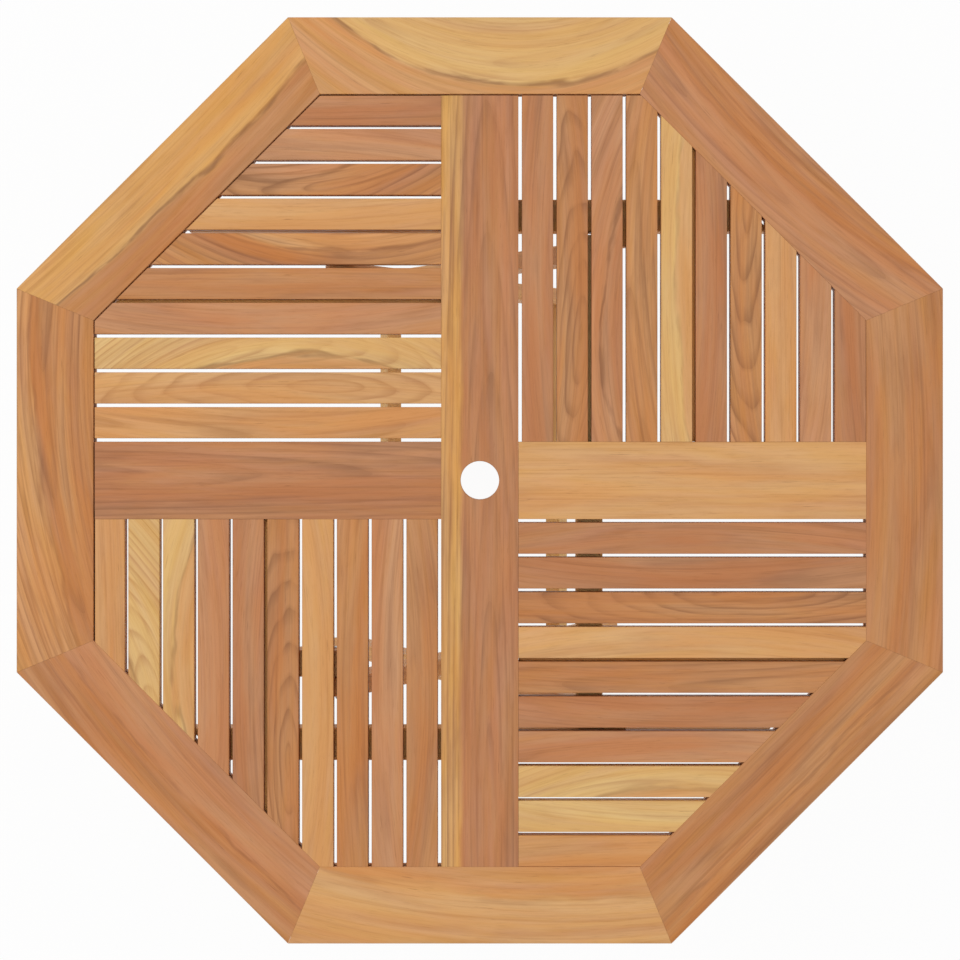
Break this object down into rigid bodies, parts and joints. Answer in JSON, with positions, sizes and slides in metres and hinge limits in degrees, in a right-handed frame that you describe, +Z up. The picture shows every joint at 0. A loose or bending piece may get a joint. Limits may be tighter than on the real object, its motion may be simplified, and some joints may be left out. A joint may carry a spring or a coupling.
{
  "type": "folding garden table",
  "caption": "Octagonal slatted wooden garden table with a mitred frame, a parasol hole in the middle and scissor legs that fold under a tip-up top.",
  "frame": {"origin": "on the ground, below the middle of the octagonal top", "axes": "+Z up, X across the scissor legs' spread, Y along their pivot bolts; +Y is the top edge of the picture"},
  "size_m": [1.2, 1.2, 0.75],
  "materials": {
    "teak_rails": "oiled, honey to reddish brown",
    "teak_boards": "oiled, reddish brown with dark streaks",
    "teak_slats": "oiled, each slat of its own tone",
    "teak_frame": "oiled, plain brown",
    "steel": "zinc-plated, satin"
  },
  "bodies": {
    "inner_frame": {"hinge_bolt_back": "steel", "hinge_bolt_front": "steel", "inner_leg_back": "teak_frame", "inner_leg_front": "teak_frame", "inner_stretcher": "teak_frame", "scissor_bolt_back": "steel", "scissor_bolt_front": "steel"},
    "top": {"batten_back": "teak_frame", "batten_front": "teak_frame", "centre_board": "teak_boards", "half_board_left": "teak_boards", "half_board_right": "teak_boards", "hinge_block_back": "teak_frame", "hinge_block_front": "teak_frame", "rail_bottom": "teak_rails", "rail_bottom_left": "teak_rails", "rail_bottom_right": "teak_rails", "rail_left": "teak_rails", "rail_right": "teak_rails", "rail_top": "teak_rails", "rail_top_left": "teak_rails", "rail_top_right": "teak_rails", "slat_back_left_01": "teak_slats", "slat_back_left_02": "teak_slats", "slat_back_left_03": "teak_slats", "slat_back_left_04": "teak_slats", "slat_back_left_05": "teak_slats", "slat_back_left_06": "teak_slats", "slat_back_left_07": "teak_slats", "slat_back_left_08": "teak_slats", "slat_back_left_09": "teak_slats", "slat_back_right_02": "teak_slats", "slat_back_right_03": "teak_slats", "slat_back_right_04": "teak_slats", "slat_back_right_05": "teak_slats", "slat_back_right_06": "teak_slats", "slat_back_right_07": "teak_slats", "slat_back_right_08": "teak_slats", "slat_back_right_09": "teak_slats", "slat_front_left_02": "teak_slats", "slat_front_left_03": "teak_slats", "slat_front_left_04": "teak_slats", "slat_front_left_05": "teak_slats", "slat_front_left_06": "teak_slats", "slat_front_left_07": "teak_slats", "slat_front_left_08": "teak_slats", "slat_front_left_09": "teak_slats", "slat_front_right_01": "teak_slats", "slat_front_right_02": "teak_slats", "slat_front_right_03": "teak_slats", "slat_front_right_04": "teak_slats", "slat_front_right_05": "teak_slats", "slat_front_right_06": "teak_slats", "slat_front_right_07": "teak_slats", "slat_front_right_08": "teak_slats", "slat_front_right_09": "teak_slats"},
    "outer_frame": {"outer_crossbar": "teak_frame", "outer_leg_back": "teak_frame", "outer_leg_front": "teak_frame", "outer_stretcher": "teak_frame"}
  },
  "joints": [
    {"name": "top_tip", "type": "hinge", "parent": "inner_frame", "child": "top", "pos_m": [-0.181, 0, 0.7052], "axis": [0, -1, 0], "range_deg": [0, 115]},
    {"name": "scissor_fold", "type": "hinge", "parent": "inner_frame", "child": "outer_frame", "pos_m": [-0.01763, 0, 0.39794], "axis": [0, -1, 0], "range_deg": [0, 45]}
  ],
  "couplings": [
    {"joint": "scissor_fold", "follows": "top_tip", "ratio": 0.391}
  ]
}
